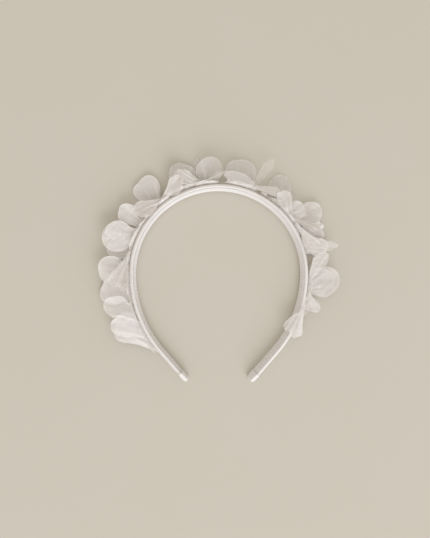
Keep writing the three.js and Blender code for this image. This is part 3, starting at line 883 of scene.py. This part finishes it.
def petal_layer(distance, petal, draw, layer):
    """One layer of a petal, as (points, faces, cloth map, marks).

    On the grid, share runs from the hem to the rim and side from -1 to 1 across the fan. A spoke
    at an angle reaches the drop's outline: the centre distance times the cosine, plus the root of
    the radius squared less the centre distance times the sine squared. Height over the plane =
    cup and curl, as in the frame + pleats (sines across the fan, times an envelope that is 1 at
    the pleats' strongest share and fades outwards) + ruffle (slower sines that grow with the cube
    of the share) + crinkles + half a step up or down for each leaf. The hem follows the tape: the
    point of the tape that a spoke starts from, less the petal's middle point, is added with a
    weight of 1 - share, squared. The outline wobbles by a slow sine and by |sin| with its mean
    taken off, which gives it soft corners.

    The marks are near 1 at the rim, at the free side edges, on a fold, on the pleats' crests and
    in the gather. Each makes the cloth more solid and paler by its own weight: at the rim and the
    free edges that is the bead's own paler edge, and on the fold, the crests and the gather the
    paler colour is painted highlight."""
    length, width = petal.length * MM, petal.width * MM
    stretch = max(1.0, width / (PETAL_ROUNDNESS * length))
    radius = width / (2 * stretch)
    centre = length - radius
    fan = np.arcsin(min(1.0, radius / centre))
    share = (STEM_SHARE + (1 - STEM_SHARE) * edged_steps(ROWS, False))[:, None]
    side, leaf = fan_places(petal.make)
    folded = petal.make.startswith("folded")

    wobble = (1.07 + 0.05 * np.sin(3 * side + draw.uniform(0, 6.28)) - 0.035 * (1 + leaf)
              + 0.07 * (np.abs(np.sin(2.6 * side + draw.uniform(0, 6.28))) - 0.64))
    angle = fan * side
    drop = np.maximum(0, radius ** 2 - (centre * np.sin(angle)) ** 2)
    reach = share * (centre * np.cos(angle) + np.sqrt(drop)) * wobble * layer["scale"]
    p = reach * np.cos(angle)
    q = stretch * reach * np.sin(angle)
    height = petal.cup * MM * (2 * q / width) ** 2 * (p / length) + petal.curl * MM * (p / length) ** 2

    size = min(1.0, width / (14 * MM))
    pleat = (np.sin(np.pi * petal.pleats * side + draw.uniform(0, 6.28) + 0.8 * share)
             + 0.7 * np.sin(1.63 * np.pi * petal.pleats * side + draw.uniform(0, 6.28) - 0.5 * share)) / 1.5
    strongest = 0.5 if folded else 0.3
    envelope = (share / strongest) * np.exp(1 - share / strongest)
    envelope = envelope if folded else envelope * (1 - 0.7 * share ** 2)
    height = height + PLEAT_DEPTH * (1.5 if folded else 1.0) * size * pleat * envelope
    ruffle = (np.sin(2.2 * np.pi * side + draw.uniform(0, 6.28))
              + 0.6 * np.sin(4.1 * np.pi * side + draw.uniform(0, 6.28)))
    height = height + RUFFLE_HEIGHT * size * share ** 3 * ruffle * 0.7
    height = height + crinkles(p, q, draw) * np.minimum(1, share / 0.3)
    height = height + layer["step"] * share + LAYER_STEP / 2 * leaf * np.minimum(1, share / 0.1)
    along, across, away = petal_axes(distance, petal.turn, petal.rise, petal.roll)
    out, up = TAPE_OUT + SEWING_GAP + petal.out * MM, petal.up * MM
    base = strip_point(distance, out, up)
    hem = max(HEM_LEAST, (WIDE_HEM_SHARE if petal.make == "wide" else HEM_SHARE) * width)
    start = strip_point(distance - hem * side, out, up) - base
    surface = (base + p[..., None] * along + q[..., None] * across + height[..., None] * away
               + start * ((1 - share) ** 2)[..., None])

    rim = np.exp(-((1 - share) * length / BEAD_WIDTH) ** 2) + 0 * side
    has_edge = np.sign(side) == np.sign(side[0, 0]) if folded else True
    from_edge = 1 - np.abs(side) * has_edge
    half_across = fan * stretch * reach + hem * (1 - share) ** 2
    selvage = np.exp(-(from_edge * half_across / (0.6 * BEAD_WIDTH)) ** 2)
    turned = np.exp(-(leaf / 0.8) ** 2) if folded else 0 * side
    crest = np.clip(pleat, 0, 1) ** (6 if folded else 4) * np.minimum(1, envelope)
    gather = np.exp(-share / 0.16) + 0 * side
    solid = petal.body + 0.3 * gather + 0.2 * crest + 0.18 * rim + 0.1 * selvage + 0.2 * turned
    thickness = ORGANZA_THICKNESS + (BEAD_THICKNESS - ORGANZA_THICKNESS) * rim
    points, faces = cloth_shell(surface, thickness)
    cloth_map = np.stack((q, p), -1).reshape(-1, 2)
    # Painted highlight on the fold, the pleat crests and the gather; the rim and free edges are the bead's own
    # paler edge.
    bright = 0.35 * rim + 0.2 * selvage + 0.7 * turned + (0.7 if folded else 0.35) * crest + 0.3 * gather
    marks = {"solid": np.clip(solid, 0, 1).ravel(), "bright": np.clip(bright, 0, 1).ravel()}
    return points, faces, np.tile(cloth_map, (2, 1)), {k: np.tile(v, 2) for k, v in marks.items()}


def petal_frill(distance, petal, draw):
    """The heading of a gathered petal: the low strip of cloth that stands up past its stitches,
    as (points, faces, cloth map, marks). On the grid, rise runs from the stitches to the frill's
    edge and side from -1 to 1. The place up the strip grows evenly from the stitches to just over
    the band's top edge, and drops to both ends as the 4th power of the side. The cloth leans out
    from the tape by the square of the rise, with slow folds that are sines across it, and grows
    sheer towards both ends."""
    rise = edged_steps(FRILL_ROWS, False)[:, None]
    side = (2 * edged_steps(FRILL_COLUMNS, True) - 1)[None, :]
    half_width = min(FRILL_HALF_WIDTH, 0.42 * petal.width * MM) * (0.8 + 0.2 * rise)
    top = FRILL_TOP + 0.5 * MM * np.sin(2.3 * side + draw.uniform(0, 6.28)) - 2.4 * MM * side ** 4
    up = petal.up * MM + (top - petal.up * MM) * rise
    fold = (np.sin(np.pi * 1.4 * side + draw.uniform(0, 6.28))
            + 0.5 * np.sin(np.pi * 3.1 * side + draw.uniform(0, 6.28)))
    flare = FRILL_FLARE * draw.uniform(0.6, 1.7)
    across = TAPE_OUT + 0.3 * MM + flare * rise ** 2 * (1 - 0.4 * side ** 2) + FRILL_FOLD * fold * rise
    surface = strip_point(distance + half_width * side, across, up)
    rim = np.exp(-(((1 - rise) * 5 * MM / BEAD_WIDTH) ** 2)) + 0 * side
    crest = np.clip(fold / 1.5, 0, 1) ** 2 * rise
    solid = (0.56 + 0.2 * (1 - rise) + 0.2 * rim + 0.15 * crest) * (1 - side ** 2) ** 0.7
    # Painted highlight on the fold crests; the rim is the bead's own paler edge, and the whole frill is a
    # little paler.
    bright = 0.15 + 0.4 * rim + 0.2 * crest
    points, faces = cloth_shell(surface, ORGANZA_THICKNESS + (BEAD_THICKNESS - ORGANZA_THICKNESS) * rim)
    cloth_map = np.stack(np.broadcast_arrays(half_width * side, rise * 5 * MM), -1).reshape(-1, 2)
    marks = {"solid": np.clip(solid, 0, 1).ravel(), "bright": np.clip(bright, 0, 1).ravel()}
    return points, faces, np.tile(cloth_map, (2, 1)), {k: np.tile(v, 2) for k, v in marks.items()}


ONE_LAYER = ({"scale": 1.0, "step": 0.0},)
TWO_LAYERS = ({"scale": 1.0, "step": 0.0}, {"scale": 0.92, "step": LAYER_STEP})


HIGHEST_FRILL = 4.2 * MM
faces_made = 0
for flower, (place, petals) in FLOWERS.items():
    for number, petal in enumerate(petals, 1):
        distance = place * HALF_LENGTH + petal.along * MM
        draw = np.random.default_rng(100 * int(flower.split("_")[1]) + number)
        layers = TWO_LAYERS if petal.make == "double" else ONE_LAYER
        parts = [petal_layer(distance, petal, draw, layer) for layer in layers]
        if petal.up * MM < HIGHEST_FRILL:
            parts.append(petal_frill(distance, petal, draw))
        piece = put_piece(f"{flower}_organza_{number}", parts, organza,
                          [f"{flower}_petal_{number}"])
        faces_made += len(piece.data.polygons)
print(f"petals made, {faces_made} faces in all")

# %% [markdown]
# ## The sewing thread
# Under each flower the thread is knotted and wound over the gathered stems; only the knot is
# made here. The knot is a small trefoil: the simplest curve that really is tied. A round section
# carried along it makes the thread.

# %% Threads
THREAD_RADIUS = 0.16 * MM
KNOT_RADIUS = 0.8 * MM
KNOT_GAP = 0.3 * MM


def thread_tube(path, radius, sides=8):
    """A closed round thread along a closed path. Each ring stands on the path's direction, with
    its first axis the part of a fixed slanted vector that is square to the path."""
    direction = np.roll(path, -1, 0) - np.roll(path, 1, 0)
    direction /= np.linalg.norm(direction, axis=1, keepdims=True)
    slanted = np.array((0.21, -0.35, 0.91))
    first = slanted - direction * (direction @ slanted)[:, None]
    first /= np.linalg.norm(first, axis=1, keepdims=True)
    second = np.cross(direction, first)
    angle = np.linspace(0, 2 * np.pi, sides, endpoint=False)
    rings = (path[:, None] + radius * (np.cos(angle)[None, :, None] * first[:, None]
                                       + np.sin(angle)[None, :, None] * second[:, None]))
    count = len(path)
    i, j = np.arange(count)[:, None], np.arange(sides)[None, :]
    k, m = (i + 1) % count, (j + 1) % sides
    faces = np.stack((i * sides + j, i * sides + m, k * sides + m, k * sides + j), -1).reshape(-1, 4)
    run = np.linspace(0, 12 * MM, count)[:, None]
    cloth_map = np.stack(np.broadcast_arrays(angle[None, :] * radius, run), -1).reshape(-1, 2)
    points = rings.reshape(-1, 3)
    return points, faces, cloth_map, {"groove": np.zeros(len(points))}


def knot_path(middle, out, up, along):
    """A trefoil in the frame out, up, along: (sin t + 2 sin 2t, cos t - 2 cos 2t, -sin 3t), with
    t from 0 to a full turn, scaled so that the knot fits its radius."""
    t = np.linspace(0, 2 * np.pi, 72, endpoint=False)
    scale = (KNOT_RADIUS - THREAD_RADIUS) / 3
    return (middle + scale * ((np.sin(t) + 2 * np.sin(2 * t))[:, None] * along
                              + (np.cos(t) - 2 * np.cos(2 * t))[:, None] * up
                              - np.sin(3 * t)[:, None] * out))


def make_thread():
    """Cotton thread, with its ply as a bump."""
    material, tree, shader, place, cloth = start_material("sewing_thread", 0.7, sheen=0.3)
    colour = place_group(tree, uneven, {"Place": place, "Clouds per metre": 500.0,
                                        "Light": (0.88, 0.84, 0.80, 1), "Shaded": (0.80, 0.75, 0.71, 1)})
    tree.links.new(colour.outputs["Colour"], shader.inputs["Base Color"])
    ply = place_group(tree, weave, {"Place": cloth, "Threads per metre": 2200.0})
    raise_surface(tree, shader, ply.outputs["Height"], 0.04 * MM, 0.6)
    return material


thread = make_thread()
for flower, (place, petals) in FLOWERS.items():
    distance = place * HALF_LENGTH
    middle = strip_point(distance, TAPE_OUT + KNOT_GAP + KNOT_RADIUS, KNOT_RADIUS - TAPE_HALF_WIDTH)
    _, _, out_x, out_y = hoop_line(distance)
    out, up = np.array((out_x, out_y, 0.0)), np.array((0.0, 0.0, 1.0))
    path = knot_path(middle, out, up, np.cross(out, up))
    put_piece(f"{flower}_thread", [thread_tube(path, THREAD_RADIUS)], thread, [f"{flower}_knot"])
print(f"{len(FLOWERS)} knots tied")
